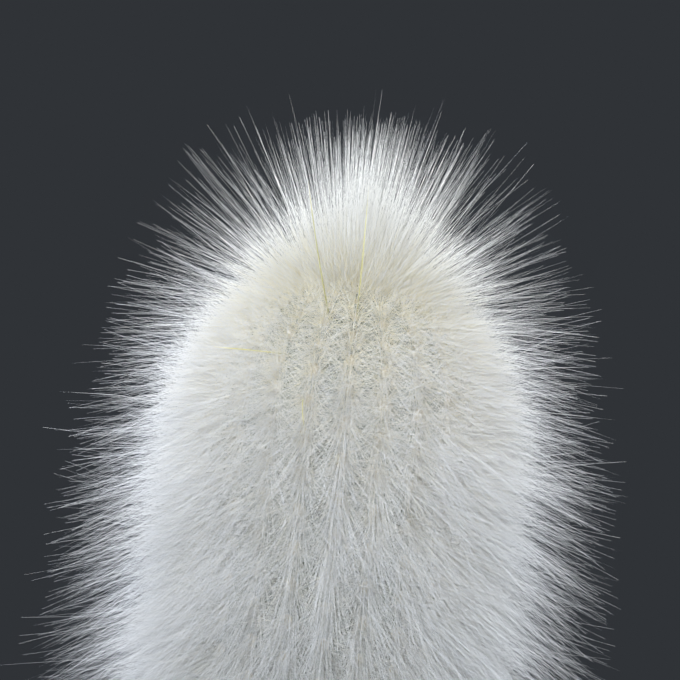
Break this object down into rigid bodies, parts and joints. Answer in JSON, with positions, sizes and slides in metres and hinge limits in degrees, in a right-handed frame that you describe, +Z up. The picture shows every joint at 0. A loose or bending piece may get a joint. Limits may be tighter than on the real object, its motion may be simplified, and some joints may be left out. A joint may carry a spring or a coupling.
{
  "type": "potted cleistocactus",
  "caption": "Columnar silver torch cactus, ribbed and covered in fine white bristles with a cream crown tuft, standing in a plain clay pot of gritty soil.",
  "frame": {"origin": "centre of the pot's underside, on the surface it stands on", "axes": "+Z up along the stem; -Y is the pictured front, with one rib's crest facing it"},
  "size_m": [0.1156, 0.1156, 0.292],
  "materials": {
    "clay": "unglazed fired clay, matte, with a faint pale bloom of lime",
    "soil": "dry potting mix of bark, peat and pale grit, matte",
    "stem_skin": "grey-green waxy skin, satin",
    "bristles": "fine stiff white bristles, silky",
    "crown_spines": "dense young cream spines and wool, silky"
  },
  "bodies": {
    "root": {"pot": "clay", "soil": "soil", "stem": "stem_skin", "crown_tuft": "crown_spines", "spines_rib_01": "bristles", "spines_rib_02": "bristles", "spines_rib_03": "bristles", "spines_rib_04": "bristles", "spines_rib_05": "bristles", "spines_rib_06": "bristles", "spines_rib_07": "bristles", "spines_rib_08": "bristles", "spines_rib_09": "bristles", "spines_rib_10": "bristles", "spines_rib_11": "bristles", "spines_rib_12": "bristles", "spines_rib_13": "bristles", "spines_rib_14": "bristles", "spines_rib_15": "bristles", "spines_rib_16": "bristles", "spines_rib_17": "bristles", "spines_rib_18": "bristles", "spines_rib_19": "bristles", "spines_rib_20": "bristles", "spines_rib_21": "bristles", "spines_rib_22": "bristles", "spines_rib_23": "bristles", "spines_rib_24": "bristles", "spines_rib_25": "bristles"}
  },
  "joints": []
}
